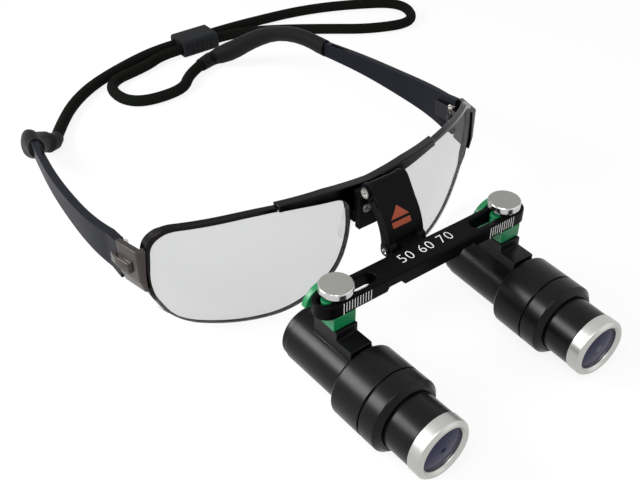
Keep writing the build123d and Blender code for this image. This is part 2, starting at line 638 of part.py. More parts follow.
def nose_saddle():
    """A soft arch behind the bridge that sits on the nose."""
    outline = xz_polygon([
        (-SADDLE_OUTER[1], SADDLE_FOOT_Z), (-SADDLE_OUTER[0], SADDLE_TOP_Z), (SADDLE_OUTER[0], SADDLE_TOP_Z),
        (SADDLE_OUTER[1], SADDLE_FOOT_Z), (SADDLE_INNER[1], SADDLE_FOOT_Z), (SADDLE_INNER[0], SADDLE_CROWN_Z),
        (-SADDLE_INNER[0], SADDLE_CROWN_Z), (-SADDLE_INNER[1], SADDLE_FOOT_Z),
    ])
    front = BROW_BACK_R - SEAT_GAP
    return front_prism(outline) & ball_shell(front, front - SADDLE_THICKNESS)


# ---------------------------------------------------------------- end pieces, hinges and temples
def end_piece():
    """A wide plate from the rim round the corner to the hinge, with a sloping facet and a raised tab."""
    inner = END_OUTER - END_THICKNESS
    start = LENS_CORNERS[2][0] - 2
    slant = (END_OUTER - END_CORNER_X) / (END_BACK_Y - END_CORNER_Y)
    plan = [
        (start, END_FRONT_Y), (END_CORNER_X, END_CORNER_Y), (END_OUTER, END_BACK_Y), (inner, END_BACK_Y),
        (END_CORNER_X - END_THICKNESS, END_CORNER_Y + END_THICKNESS), (start, END_FRONT_Y + END_THICKNESS + 1.2),
    ]
    top = make_face(Polyline(*[(x, y, END_BOTTOM + END_FACET) for x, y in plan], close=True))
    plate = extrude(top, amount=END_TOP - END_BOTTOM - END_FACET, dir=(0, 0, 1))
    middle_z = (END_TOP + END_BOTTOM + END_FACET) / 2
    corner = plate.edges().filter_by(Axis.Z).sort_by_distance((END_CORNER_X, END_CORNER_Y, middle_z))[0]
    plate = fillet(corner, END_CORNER_R)
    low = Pos(-END_FACET_IN, 0, -END_FACET) * plate.faces().sort_by(Axis.Z)[0]
    facet = loft([plate.faces().sort_by(Axis.Z)[0], low])
    plate += facet
    tab_start = END_CORNER_X + slant * (TAB_FRONT_Y - END_CORNER_Y)
    tab_outer = END_OUTER + TAB_PROUD
    tab_plan = [
        (tab_start - 0.3, TAB_FRONT_Y), (tab_start + TAB_PROUD, TAB_FRONT_Y), (tab_outer, END_BACK_Y),
        (tab_outer, TAB_BACK_Y), (TAIL_INNER, TAB_BACK_Y), (TAIL_INNER, END_BACK_Y), (END_OUTER - 0.3, END_BACK_Y),
    ]
    tab = extrude(make_face(Polyline(*[(x, y, TAB_BOTTOM) for x, y in tab_plan], close=True)), amount=TAB_TOP - TAB_BOTTOM,
                  dir=(0, 0, 1))
    rear = tab.faces().sort_by(Axis.X)[-1]
    plate += chamfer(rear.edges().filter_by(Axis.Y), TAB_EDGE)
    arm_top = HINGE_BOTTOM + 3 * KNUCKLE_HEIGHT + 2 * SLIDE_GAP
    arm = block(HINGE_X - KNUCKLE_R, inner, TAB_FRONT_Y, END_BACK_Y, HINGE_BOTTOM, arm_top)
    plate += arm
    for low_z in (HINGE_BOTTOM, HINGE_BOTTOM + 2 * (KNUCKLE_HEIGHT + SLIDE_GAP)):
        knuckle = rod_z(KNUCKLE_R, low_z, low_z + KNUCKLE_HEIGHT, HINGE_X, HINGE_Y)
        neck = block(HINGE_X - KNUCKLE_R, HINGE_X + KNUCKLE_R * 0.6, END_BACK_Y - 0.5, HINGE_Y, low_z, low_z + KNUCKLE_HEIGHT)
        plate += knuckle + neck
    plate -= rod_z(HINGE_PIN_R + RUNNING_GAP, HINGE_BOTTOM - 1, arm_top + 1, HINGE_X, HINGE_Y)
    return plate - front_prism(lens_outline(RIM_WIDTH + SEAT_GAP))


def hinge_screw():
    top = HINGE_BOTTOM + 3 * KNUCKLE_HEIGHT + 2 * SLIDE_GAP + SEAT_GAP
    shank = rod_z(HINGE_PIN_R, HINGE_BOTTOM - 0.3, top + 0.1, HINGE_X, HINGE_Y)
    head = rod_z(KNUCKLE_R * 0.95, top, top + HINGE_SCREW_HEAD, HINGE_X, HINGE_Y)
    return shank + head


def temple_solid(grow=0.0):
    """The temple: its outline from above crossed with its outline from the side."""
    outer = [(x + grow, y) for y, x in TEMPLE_PLAN]
    inner = [(x - TEMPLE_THICKNESS - grow, y) for y, x in TEMPLE_PLAN]
    outer_curve = Spline(*[(x, y, 0) for x, y in outer[1:]])
    inner_curve = Spline(*[(x, y, 0) for x, y in inner[1:]])
    plan = make_face(Wire([
        Edge.make_line(inner[0], outer[0]), Edge.make_line(outer[0], outer[1]), *outer_curve.edges(),
        Edge.make_line(outer[-1], inner[-1]), *inner_curve.edges(), Edge.make_line(inner[1], inner[0]),
    ]))
    plan_prism = extrude(plan, amount=60, dir=(0, 0, 1))
    upper = Spline(*[(0, y, z + grow) for y, z in TEMPLE_TOP])
    lower = Spline(*[(0, y, z - grow) for y, z in TEMPLE_BOTTOM])
    side = make_face(Wire([
        *upper.edges(), Edge.make_line(upper @ 1, lower @ 1), *lower.edges(), Edge.make_line(lower @ 0, upper @ 0),
    ]))
    side_prism = extrude(side, amount=100, dir=(1, 0, 0))
    return plan_prism & side_prism


def temple():
    leaf_x = TEMPLE_PLAN[0][1] - TEMPLE_THICKNESS + LEAF_BITE
    top = HINGE_BOTTOM + 3 * KNUCKLE_HEIGHT + 2 * SLIDE_GAP + HINGE_SCREW_HEAD
    leaf_room = block(
        HINGE_X - 3, leaf_x, TEMPLE_FRONT_Y - 1, HINGE_Y + LEAF_LENGTH + SEAT_GAP,
        HINGE_BOTTOM - SWING_GAP, top + SWING_GAP,
    )
    knuckle_room = rod_z(KNUCKLE_R + SWING_GAP, HINGE_BOTTOM - SWING_GAP, top + SWING_GAP, HINGE_X, HINGE_Y)
    mouth = block(
        HINGE_X - 3, HINGE_X + KNUCKLE_R + SWING_GAP, TEMPLE_FRONT_Y - 1, HINGE_Y,
        HINGE_BOTTOM - SWING_GAP, top + SWING_GAP,
    )
    return temple_solid() - leaf_room - knuckle_room - mouth


def temple_hinge():
    """The leaf let into the temple, with its one knuckle."""
    low = HINGE_BOTTOM + KNUCKLE_HEIGHT + SLIDE_GAP
    high = low + KNUCKLE_HEIGHT
    leaf_x = TEMPLE_PLAN[0][1] - TEMPLE_THICKNESS + LEAF_BITE - SEAT_GAP
    leaf = block(
        leaf_x - LEAF_THICKNESS, leaf_x, HINGE_Y + KNUCKLE_R + 0.3, HINGE_Y + LEAF_LENGTH, HINGE_BOTTOM + 0.3,
        HINGE_BOTTOM + 3 * KNUCKLE_HEIGHT,
    )
    arm = block(HINGE_X - KNUCKLE_R * 0.2, leaf_x, HINGE_Y, HINGE_Y + KNUCKLE_R + 0.6, low, high)
    knuckle = rod_z(KNUCKLE_R, low, high, HINGE_X, HINGE_Y)
    return leaf + arm + knuckle - rod_z(HINGE_PIN_R + RUNNING_GAP, low - 1, high + 1, HINGE_X, HINGE_Y)


def ear_sleeve(path, heights, widths, leave):
    """A soft sleeve lofted along its centre line; its last face looks along the cord that leaves it."""
    line = Spline(*path, tangents=[tuple(Vector(*path[1]) - Vector(*path[0])), tuple(leave)])
    count = (len(path) - 1) * SLEEVE_STEPS
    sections = []
    for i in range(count + 1):
        station = i / SLEEVE_STEPS
        low = min(int(station), len(path) - 2)
        along = station - low
        point = line @ line.param_at_point(Vector(*path[low])) if along == 0 else None
        if point is None:
            start = line.param_at_point(Vector(*path[low]))
            stop = line.param_at_point(Vector(*path[low + 1]))
            point = line @ (start + (stop - start) * along)
        share = (1 - math.cos(math.pi * along)) / 2
        height = heights[low] + (heights[low + 1] - heights[low]) * share
        width = widths[low] + (widths[low + 1] - widths[low]) * share
        ahead = line % line.param_at_point(point)
        across = ahead.cross(Vector(0, 0, 1)).normalized()
        sections.append(Plane(origin=point, x_dir=across, z_dir=ahead) * Ellipse(width / 2, height / 2))
    return loft(sections, ruled=True)


# ---------------------------------------------------------------- strap
def tube(points, name):
    """A cord of straight runs and tangent arcs through the points."""
    radii = turn_radii(points)
    path = FilletPolyline(*points, radius=radii)
    start = Plane(origin=path @ 0, z_dir=path % 0)
    solid = sweep(start * Circle(CORD_R), path=path)
    section = math.pi * CORD_R ** 2
    print(f"{name}: length {path.length:.1f}, volume/section*length {solid.volume / (section * path.length):.4f}")
    print("   radii " + ", ".join(f"{r:.1f}" for r in radii))
    return solid


def slider_point(side, strand):
    """Where a strand leaves the slider; strand is +1 for the one further from the wearer."""
    return (SLIDER_X + side * STRAND_REACH, SLIDER_Y + strand * STRAND_HALF, STRAND_Z)


def cord_routes():
    inside = [(SLIDER_X, SLIDER_Y + s * STRAND_HALF, STRAND_Z) for s in (1, -1)]
    right_exit = RIGHT_SLEEVE[-1]
    left_exit = LEFT_SLEEVE[-1]
    right = [right_exit] + [(x, y, CORD_Z) for x, y in RIGHT_ROUTE] + [slider_point(-1, 1), inside[0]]
    big = [inside[0], slider_point(1, 1)] + [(x, y, CORD_Z) for x, y in BIG_LOOP] + [slider_point(1, -1), inside[1]]
    small = [inside[1], slider_point(-1, -1)] + [(x, y, CORD_Z) for x, y in SMALL_LOOP] + [left_exit]
    return {"cord_right": right, "cord_loop": big, "cord_left": small}


def cord_slider():
    low = SLIDER_X - SLIDER_LENGTH / 2
    high = SLIDER_X + SLIDER_LENGTH / 2
    half = SLIDER_WIDTH / 2
    body = block(low, high, SLIDER_Y - half, SLIDER_Y + half, 0, SLIDER_HEIGHT)
    body = fillet(body.edges().filter_by(Axis.X), SLIDER_ROUND)
    body = fillet(body.edges().filter_by(lambda e: e.bounding_box().size.X < 1e-3), 0.8)
    first = SLIDER_X - (SLIDER_RIBS - 1) * SLIDER_RIB_PITCH / 2
    for i in range(SLIDER_RIBS):
        x = first + i * SLIDER_RIB_PITCH
        for side in (-1, 1):
            y = SLIDER_Y + side * half
            groove = block(
                x - SLIDER_RIB_WIDTH / 2, x + SLIDER_RIB_WIDTH / 2, y - SLIDER_RIB_DEPTH, y + SLIDER_RIB_DEPTH,
                SLIDER_HEIGHT * 0.2, SLIDER_HEIGHT * 0.8,
            )
            body -= groove
    for strand in (-1, 1):
        body -= rod_x(SLIDER_HOLE_R, low - 1, high + 1, SLIDER_Y + strand * STRAND_HALF, STRAND_Z)
    return body


# ---------------------------------------------------------------- all the nodes
def all_nodes():
    nodes = {
        "brow_bar": brow_bar(),
        "nose_saddle": nose_saddle(),
        "mount_bracket": mount_bracket(),
        "bracket_screws": bracket_screws(),
        "flip_pin": flip_pin(),
        "flip_arm": flip_arm(),
        "tilt_pin": tilt_pin(),
        "loupe_bar": loupe_bar(),
        "cord_slider": cord_slider(),
    }
    barrel_pieces = {
        "rear_housing": rear_housing(), "eyepiece_ring": eyepiece_ring(), "eyepiece_lens": eyepiece_lens(),
        "prism": prism(), "barrel_body": main_body(), "focus_collar": focus_collar(),
        "objective_tube": objective_tube(), "objective_ring": objective_ring(), "objective_lens": objective_lens(),
    }
    front_pieces = {
        "lens": lens(), "rim": rim(), "end_piece": end_piece(), "hinge_screw": hinge_screw(),
        "temple_arm": temple(), "temple_hinge": temple_hinge(),
    }
    clamp_pieces = {"carriage": carriage(), "knob": knob()}
    routes = cord_routes()
    sleeves = {
        "left": (LEFT_SLEEVE, LEFT_HEIGHTS, LEFT_WIDTHS, routes["cord_left"][::-1]),
        "right": (RIGHT_SLEEVE, RIGHT_HEIGHTS, RIGHT_WIDTHS, routes["cord_right"]),
    }
    for name, side in SIDES.items():
        for piece, shape in barrel_pieces.items():
            nodes[f"{piece}_{name}"] = on_barrel(shape, side)
        for piece, shape in front_pieces.items():
            nodes[f"{piece}_{name}"] = at_side(shape, side)
        for piece, shape in clamp_pieces.items():
            nodes[f"{piece}_{name}"] = Pos(side * PUPIL_HALF, 0, 0) * shape
        socket = at_side(temple_solid(SLEEVE_SOCKET_GAP), side)
        path, heights, widths, route = sleeves[name]
        leave = Vector(*route[1]) - Vector(*route[0])
        nodes[f"ear_sleeve_{name}"] = ear_sleeve(path, heights, widths, leave) - socket
    for name, route in routes.items():
        nodes[name] = tube(route, name)
    return nodes


os.makedirs("parts", exist_ok=True)
low_y = []
high_y = []
for node, shape in all_nodes().items():
    placed = Pos(0, -ORIGIN_Y, 0) * shape
    export_step(placed, f"parts/{node}.step")
    if not node.startswith("cord"):
        box = placed.bounding_box()
        low_y.append(box.min.Y)
        high_y.append(box.max.Y)
print(f"origin shift {-ORIGIN_Y:.4f}, Y without the cords {min(low_y):.3f} to {max(high_y):.3f}")
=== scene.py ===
"""Flip-up dental loupes, finished over their packed CAD frame.

Run as a script, it registers its operators and calls them in order.  Sizes in the code are
millimetres in the frame of the loupes: X = 0 is the mirror plane, Y = 0 the axis of the two
clamp knobs and Z = 0 the table.
"""
import json
import math

import bmesh
import bpy
from mathutils import Matrix, Vector
from mathutils.bvhtree import BVHTree

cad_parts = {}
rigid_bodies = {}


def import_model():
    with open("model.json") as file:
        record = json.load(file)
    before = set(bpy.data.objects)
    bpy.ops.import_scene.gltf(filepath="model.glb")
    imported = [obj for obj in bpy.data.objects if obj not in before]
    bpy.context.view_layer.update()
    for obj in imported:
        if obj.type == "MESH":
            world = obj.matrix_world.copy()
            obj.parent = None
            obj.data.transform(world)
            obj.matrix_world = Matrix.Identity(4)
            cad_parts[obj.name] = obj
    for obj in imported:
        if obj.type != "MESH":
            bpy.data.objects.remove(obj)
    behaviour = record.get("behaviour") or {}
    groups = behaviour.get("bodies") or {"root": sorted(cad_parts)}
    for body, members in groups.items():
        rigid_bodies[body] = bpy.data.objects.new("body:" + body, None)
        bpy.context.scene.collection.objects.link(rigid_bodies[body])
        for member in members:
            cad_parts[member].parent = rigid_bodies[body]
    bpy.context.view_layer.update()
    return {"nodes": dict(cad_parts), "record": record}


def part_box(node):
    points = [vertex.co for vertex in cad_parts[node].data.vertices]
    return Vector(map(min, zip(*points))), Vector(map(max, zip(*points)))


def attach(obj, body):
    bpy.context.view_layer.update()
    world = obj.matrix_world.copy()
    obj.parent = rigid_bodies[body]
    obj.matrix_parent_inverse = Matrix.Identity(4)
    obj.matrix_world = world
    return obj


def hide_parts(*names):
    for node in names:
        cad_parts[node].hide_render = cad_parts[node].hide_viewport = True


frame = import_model()

bl_info = {
    "name": "Flip-up Loupes",
    "version": (1, 0, 0),
    "blender": (4, 5, 0),
    "location": "3D View > Sidebar > Loupes",
    "description": "Builds flip-up dental loupes with their spectacle frame and strap",
    "category": "Add Mesh",
}

MM = 0.001
SIDES = {"right": -1, "left": 1}

# Corners nearer than this are one, in metres: in a CAD node's triangles, and in a new mesh.
CAD_MERGE = 2e-6
MERGE = 1e-7
# Degrees. Faces that turn by less than the first are joined. Edges that turn by more than the
# others stay sharp and get a soft edge, on the copy of a CAD node and on a new mesh.
FLAT_ENOUGH = 0.4
CAD_SHARP = 30
SHARP = 32
SOFT_EDGE_SEGMENTS = 3

# Factors on a pattern's coordinates: rings and finer lines round a barrel, and none.
LATHE_RINGS = (0.02, 1, 0.02)
LATHE_LINES = (0.05, 1, 0.05)
EVEN = (1, 1, 1)

# How far a print stands off its node's skin, and the Y of a normal that is no longer front.
PRINT_LIFT = 0.04
FACES_FRONT = -0.3

# The two bars of a screw's cross recess, and their turn in degrees.
RECESS_WIDTH = 0.5
RECESS_DEPTH = 0.5
RECESS_TURN = 20


def node_middle(node):
    """The middle of a CAD node's box, in metres."""
    low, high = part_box(node)
    return (Vector(low) + Vector(high)) / 2


KNOB_AXIS = {side: node_middle("knob_" + side) for side in SIDES}
ORIGIN_Y = KNOB_AXIS["left"].y / MM
BAR_LOW, BAR_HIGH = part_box("loupe_bar")
BAR_TOP = BAR_HIGH[2] / MM
BAR_FRONT = BAR_LOW[1] / MM - ORIGIN_Y


def place(x, y, z):
    """A point of the loupes' frame, in metres in the row frame."""
    return Vector((x, y + ORIGIN_Y, z)) * MM


# ---------------------------------------------------------------- shader building
class Socket:
    """Wraps a node's output so that shader maths reads as Python."""

    def __init__(self, tree, output):
        self.tree = tree
        self.output = output

    def _maths(self, operation, other, swapped=False):
        node = self.tree.nodes.new("ShaderNodeMath")
        node.operation = operation
        first, second = (other, self) if swapped else (self, other)
        fill(self.tree, node.inputs[0], first)
        fill(self.tree, node.inputs[1], second)
        return Socket(self.tree, node.outputs[0])

    def __add__(self, other):
        return self._maths("ADD", other)

    def __radd__(self, other):
        return self._maths("ADD", other, True)

    def __sub__(self, other):
        return self._maths("SUBTRACT", other)

    def __rsub__(self, other):
        return self._maths("SUBTRACT", other, True)

    def __mul__(self, other):
        return self._maths("MULTIPLY", other)

    def __rmul__(self, other):
        return self._maths("MULTIPLY", other, True)

    def __lt__(self, other):
        return self._maths("LESS_THAN", other)

    def __gt__(self, other):
        return self._maths("GREATER_THAN", other)

    def swing(self, width):
        """A factor from 0 to 1, turned into minus to plus half a width."""
        return (self - 0.5) * width


def fill(tree, socket, value):
    """Links a socket to an output or sets its value; a colour is made opaque."""
    if isinstance(value, Socket):
        tree.links.new(value.output, socket)
    elif socket.type == "RGBA":
        socket.default_value = (*value, 1.0)
    else:
        socket.default_value = value


class Nodes:
    """The node tree of a material or world, and the one method that adds its nodes."""

    def __init__(self, owner):
        owner.use_nodes = True
        self.tree = owner.node_tree
        self.tree.nodes.clear()

    def node(self, kind, settings=None, result=0, **sockets):
        """Adds a node: its settings first, then the values or links of its sockets.

        A socket goes by its name, with _ for a space, or by its number, as in _0.  The result is
        the output of that name or number, or the node itself where it has no outputs.
        """
        node = self.tree.nodes.new(kind)
        for key, value in (settings or {}).items():
            setattr(node, key, value)
        for key, value in sockets.items():
            which = int(key[1:]) if key.startswith("_") else key.replace("_", " ")
            fill(self.tree, node.inputs[which], value)
        return Socket(self.tree, node.outputs[result]) if node.outputs else node

    def seen(self):
        """1 for a ray that shows the surface: straight on, mirrored or through glass."""
        rays = ("Is Camera Ray", "Is Glossy Ray", "Is Transmission Ray")
        camera, glossy, through = (self.node("ShaderNodeLightPath", result=ray) for ray in rays)
        return camera + glossy + through


class Finish(Nodes):
    """One material: a Principled shader and the nodes that vary it."""

    def __init__(self, name, **constants):
        self.material = bpy.data.materials.new(name)
        super().__init__(self.material)
        self.shader = self.node("ShaderNodeBsdfPrincipled", **constants)
        self.surface = self.node("ShaderNodeOutputMaterial", Surface=self.shader)

    def feed(self, socket_name, value):
        """Links or sets one of the shader's sockets."""
        fill(self.tree, self.shader.output.node.inputs[socket_name], value)

    def points(self, stretch):
        """Object coordinates in millimetres, multiplied along each axis."""
        coordinates = self.node("ShaderNodeTexCoord", result="Object")
        scale = tuple(value / MM for value in stretch)
        settings = {"vector_type": "POINT"}
        return self.node("ShaderNodeMapping", settings, Vector=coordinates, Scale=scale)

    def noise(self, size, detail=3.0, stretch=EVEN, roughness=0.5):
        """Noise whose features are about that many millimetres across."""
        return self.node(
            "ShaderNodeTexNoise", Vector=self.points(stretch), Scale=1 / size, Detail=detail,
            Roughness=roughness,
        )

    def colours(self, factor, first, second):
        """A colour between two, by a factor; 6, 7 and 2 are the Mix node's colour sockets."""
        settings = {"data_type": "RGBA"}
        return self.node("ShaderNodeMix", settings, result=2, _0=factor, _6=first, _7=second)

    def shades(self, factor, colour, low, high):
        """A colour between two shares of itself, by a factor."""
        return self.colours(factor, tuple(low * c for c in colour), tuple(high * c for c in colour))

    def distance(self, centre, across):
        """Millimetres from a point in metres, along the axes that are 1 in `across`."""
        coordinates = self.node("ShaderNodeTexCoord", result="Object")
        offset = self.node(
            "ShaderNodeVectorMath", {"operation": "SUBTRACT"}, _0=coordinates, _1=tuple(centre)
        )
        scale = tuple(value / MM for value in across)
        flat = self.node("ShaderNodeVectorMath", {"operation": "MULTIPLY"}, _0=offset, _1=scale)
        return self.node("ShaderNodeVectorMath", {"operation": "LENGTH"}, result="Value", _0=flat)

    def sine(self, angle):
        """The sine of an angle in radians."""
        return self.node("ShaderNodeMath", {"operation": "SINE"}, _0=angle)

    def bump(self, height, strength, depth):
        """A normal from a height map; depth in millimetres."""
        bump = self.node("ShaderNodeBump", Height=height, Strength=strength, Distance=depth * MM)
        self.feed("Normal", bump)


def black_anodised(colour):
    """Satin black turned metal: bead-blast grain, lathe rings along the barrel, a little dust."""
    finish = Finish("black_anodised", Specular_IOR_Level=0.15)
    grain = finish.noise(0.12, detail=2.0)
    cloud = finish.noise(6.0, detail=4.0)
    rings = finish.noise(0.3, detail=2.0, stretch=LATHE_RINGS)
    finish.feed("Base Color", finish.shades(cloud, colour, 0.75, 1.5))
    finish.feed("Roughness", 0.3 + cloud.swing(0.1) + rings.swing(0.1))
    finish.bump(grain * 0.6 + rings * 0.4, strength=0.14, depth=0.02)
    return finish.material


def moulded(name, colour, roughness, spread=0.25, specular=0.05, grain_size=0.25, depth=0.02):
    """Moulded plastic: even colour with slight flow clouds and a fine spark-eroded grain."""
    finish = Finish(name, Specular_IOR_Level=specular)
    cloud = finish.noise(7.0)
    grain = finish.noise(grain_size, detail=2.0)
    finish.feed("Base Color", finish.shades(cloud, colour, 1 - spread, 1 + spread))
    finish.feed("Roughness", roughness + cloud.swing(0.1))
    finish.bump(grain, strength=0.2, depth=depth)
    return finish.material


def machined(name, colour, roughness, stretch=EVEN, size=1.5):
    """Bare machined metal, with fine streaks along the stretch where it was turned."""
    finish = Finish(name, Metallic=1.0)
    streak = finish.noise(size, detail=4.0, stretch=stretch, roughness=0.7)
    cloud = finish.noise(4.0)
    finish.feed("Base Color", finish.shades(streak, colour, 0.94, 1.05))
    finish.feed("Roughness", roughness + streak.swing(0.12) + cloud.swing(0.08))
    return finish.material


def knob_steel(name, centre):
    """A thumb screw: a matt, finely turned top and a polished side."""
    faces_up = 0.8
    turning = 40
    finish = Finish(name)
    normal = finish.node("ShaderNodeTexCoord", result="Normal")
    upright = finish.node("ShaderNodeSeparateXYZ", result="Z", Vector=normal) > faces_up
    radius = finish.distance(centre, across=(1, 1, 0))
    rings = finish.sine(radius * turning) * 0.5 + 0.5
    cloud = finish.noise(3.0)
    matt = finish.shades(cloud, (0.21, 0.21, 0.193), 0.93, 1.05)
    bright = finish.shades(cloud, (0.54, 0.54, 0.54), 0.9, 1.05)
    finish.feed("Base Color", finish.colours(upright, bright, matt))
    finish.feed("Metallic", 1 - upright * 0.75)
    finish.feed("Roughness", 0.16 + upright * 0.4 + cloud.swing(0.08))
    finish.bump(rings * upright, strength=0.15, depth=0.01)
    return finish.material


def pin_steel(name, centre, bright_radius):
    """A pin along X: a bright recessed screw in the middle of a blackened head."""
    finish = Finish(name, Specular_IOR_Level=0.1)
    bright = finish.distance(centre, across=(0, 1, 1)) < bright_radius
    cloud = finish.noise(1.5, detail=4.0)
    metal = finish.shades(cloud, (0.52, 0.51, 0.48), 0.85, 1.05)
    finish.feed("Base Color", finish.colours(bright, (0.006, 0.006, 0.007), metal))
    finish.feed("Metallic", bright)
    finish.feed("Roughness", 0.24 + cloud.swing(0.1))
    return finish.material


def gunmetal(name, colour, roughness):
    """Dark plated metal under clear lacquer."""
    finish = Finish(name, Metallic=1.0, Coat_Roughness=0.12, Coat_IOR=1.3, Coat_Weight=0.3)
    cloud = finish.noise(3.0, detail=4.0)
    brush = finish.noise(0.5, detail=4.0, stretch=(1, 1, 8))
    finish.feed("Base Color", finish.shades(cloud, colour, 0.92, 1.1))
    finish.feed("Roughness", roughness + brush.swing(0.08))
    finish.bump(brush, strength=0.03, depth=0.01)
    return finish.material


def clear_lens():
    """Clear polycarbonate, seen as a light grey veil with a soft shine."""
    finish = Finish("clear_lens", Roughness=0.35, Specular_IOR_Level=0.08, IOR=1.45)
    smear = finish.noise(14.0)
    colour = finish.colours(smear, (0.15, 0.154, 0.155), (0.17, 0.174, 0.175))
    finish.feed("Base Color", colour)
    finish.feed("Alpha", 0.222 + smear.swing(0.02))
    return finish.material


def silicone():
    """Clear soft silicone, a faint grey veil."""
    finish = Finish("saddle_silicone", Roughness=0.45, Specular_IOR_Level=0.2)
    cloud = finish.noise(5.0)
    finish.feed("Base Color", finish.colours(cloud, (0.34, 0.35, 0.36), (0.42, 0.43, 0.44)))
    finish.feed("Alpha", 0.08 + cloud.swing(0.03))
    return finish.material


def coated_glass():
    """Optical glass with a blue-violet coating, made opaque, with a dark base colour as painted
    shade for the barrel's inside seen through it.
    """
    violet = (0.5, 0.45, 0.9)
    finish = Finish("coated_glass", Specular_IOR_Level=0.13, Roughness=0.05, Specular_Tint=violet)
    cloud = finish.noise(9.0)
    # Painted shade: the dark base colour stands in for the shaded inside of the barrel seen through
    # the glass.
    finish.feed("Base Color", finish.colours(cloud, (0.004, 0.004, 0.020), (0.008, 0.007, 0.042)))
    return finish.material


def paint(name, colour, roughness=0.5):
    """Filled engraving or pad print, a little worn."""
    finish = Finish(name, Specular_IOR_Level=0.3, Roughness=roughness)
    wear = finish.noise(0.6, detail=4.0)
    finish.feed("Base Color", finish.shades(wear, colour, 0.82, 1.0))
    return finish.material


def woven_cord():
    """Black round braid: two sets of strands that pass over and under each other, with painted
    shade where a strand dips under.
    """
    finish = Finish("woven_cord", Specular_IOR_Level=0.03, Roughness=0.85)
    coordinates = finish.node("ShaderNodeUVMap", {"uv_map": "UVMap"})
    along = finish.node("ShaderNodeSeparateXYZ", result="X", Vector=coordinates)
    around = finish.node("ShaderNodeSeparateXYZ", result="Y", Vector=coordinates)
    crossings = 300.0
    strands = 8.0
    left = finish.sine((along * crossings + around * strands) * (2 * math.pi))
    right = finish.sine((along * crossings - around * strands) * (2 * math.pi))
    upper = finish.node("ShaderNodeMath", {"operation": "MAXIMUM"}, _0=left, _1=right)
    weave = upper * 0.5 + 0.5
    fuzz = finish.noise(0.25)
    # Painted shade: the colour is darker where a strand dips under the other, following the weave's
    # height; the fuzz share is random tone.
    black = finish.colours(
        weave * 0.7 + fuzz * 0.3, (0.001, 0.0013, 0.001), (0.0075, 0.0085, 0.0068)
    )
    finish.feed("Base Color", black)
    finish.bump(weave * 0.8 + fuzz * 0.4, strength=0.9, depth=0.25)
    return finish.material


# ---------------------------------------------------------------- mesh building
def body_of_node(node):
    """The CAD body that a node belongs to."""
    for body, nodes in frame["record"]["behaviour"]["bodies"].items():
        if node in nodes:
            return body
    raise ValueError("no body holds " + node)


def smooth_by_angle(mesh, degrees=SHARP):
    """Smooth shading that keeps edges sharper than this."""
    mesh.polygons.foreach_set("use_smooth", [True] * len(mesh.polygons))
    mesh.set_sharp_from_angle(angle=math.radians(degrees))


def finish_piece(name, mesh, material, node, bevel=0.0, degrees=SHARP, replaced=()):
    """Links a piece with its finish and soft edges, on the body of a CAD node, and hides the nodes
    it replaces.
    """
    mesh.materials.clear()
    mesh.materials.append(material)
    smooth_by_angle(mesh, degrees)
    piece = bpy.data.objects.new(name, mesh)
    bpy.context.scene.collection.objects.link(piece)
    if bevel:
        edge = piece.modifiers.new("soft edges", "BEVEL")
        edge.width = bevel * MM
        edge.segments = SOFT_EDGE_SEGMENTS
        edge.limit_method = "ANGLE"
        edge.angle_limit = math.radians(degrees)
        edge.use_clamp_overlap = False
    if replaced:
        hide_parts(*replaced)
    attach(piece, body_of_node(node))
    return piece


def as_mesh(name, bm):
    """Turns a bmesh into a mesh and frees it."""
    mesh = bpy.data.meshes.new(name)
    bm.to_mesh(mesh)
    bm.free()
    return mesh


def closed_mesh(name, bm):
    """A mesh from a closed bmesh, with doubles merged and faces pointing outwards."""
    bmesh.ops.remove_doubles(bm, verts=bm.verts, dist=MERGE)
    bmesh.ops.recalc_face_normals(bm, faces=bm.faces)
    return as_mesh(name, bm)


def merged_copy(node):
    """A bmesh copy of a CAD node, its loose triangles merged."""
    bm = bmesh.new()
    bm.from_mesh(frame["nodes"][node].data)
    bmesh.ops.remove_doubles(bm, verts=bm.verts, dist=CAD_MERGE)
    return bm


def dress(node, material, bevel=0.0):
    """A merged copy of a CAD node with soft edges, standing for that node."""
    bm = merged_copy(node)
    flat = math.radians(FLAT_ENOUGH)
    bmesh.ops.dissolve_limit(bm, angle_limit=flat, verts=bm.verts, edges=bm.edges)
    name = node + "_finish"
    return finish_piece(name, as_mesh(name, bm), material, node, bevel, CAD_SHARP, [node])


def blocks(name, boxes):
    """Small bars: each is (centre, size in millimetres, turn or None)."""
    bm = bmesh.new()
    for centre, size, turn in boxes:
        made = bmesh.ops.create_cube(bm, size=1.0)["verts"]
        bmesh.ops.scale(bm, vec=Vector(size) * MM, verts=made)
        if turn:
            bmesh.ops.transform(bm, matrix=turn, verts=made)
        bmesh.ops.translate(bm, vec=centre, verts=made)
    return closed_mesh(name, bm)


def cut_from(piece, cutter):
    """Cuts a mesh out of a finished piece's own mesh, ahead of its soft edges."""
    body = bpy.data.objects.new("body", piece.data)
    tool = bpy.data.objects.new("tool", cutter)
    links = bpy.context.scene.collection.objects
    links.link(body)
    links.link(tool)
    cut = body.modifiers.new("cut", "BOOLEAN")
    cut.operation = "DIFFERENCE"
    cut.solver = "EXACT"
    cut.use_self = True
    cut.object = tool
    depsgraph = bpy.context.evaluated_depsgraph_get()
    made = bpy.data.meshes.new_from_object(body.evaluated_get(depsgraph))
    bpy.data.objects.remove(body)
    bpy.data.objects.remove(tool)
    smooth_by_angle(made)
    piece.data = made


def cross_recess(centre, axis, length):
    """Two crossed bars that cut a cross recess into a head that faces along X or Y."""
    spin = Matrix.Rotation(math.radians(RECESS_TURN), 4, axis)
    bars = []
    for wide, tall in ((length, RECESS_WIDTH), (RECESS_WIDTH, length)):
        across = 2 * RECESS_DEPTH
        size = (across, wide, tall) if axis == "X" else (wide, across, tall)
        bars.append((centre, size, spin))
    return bars


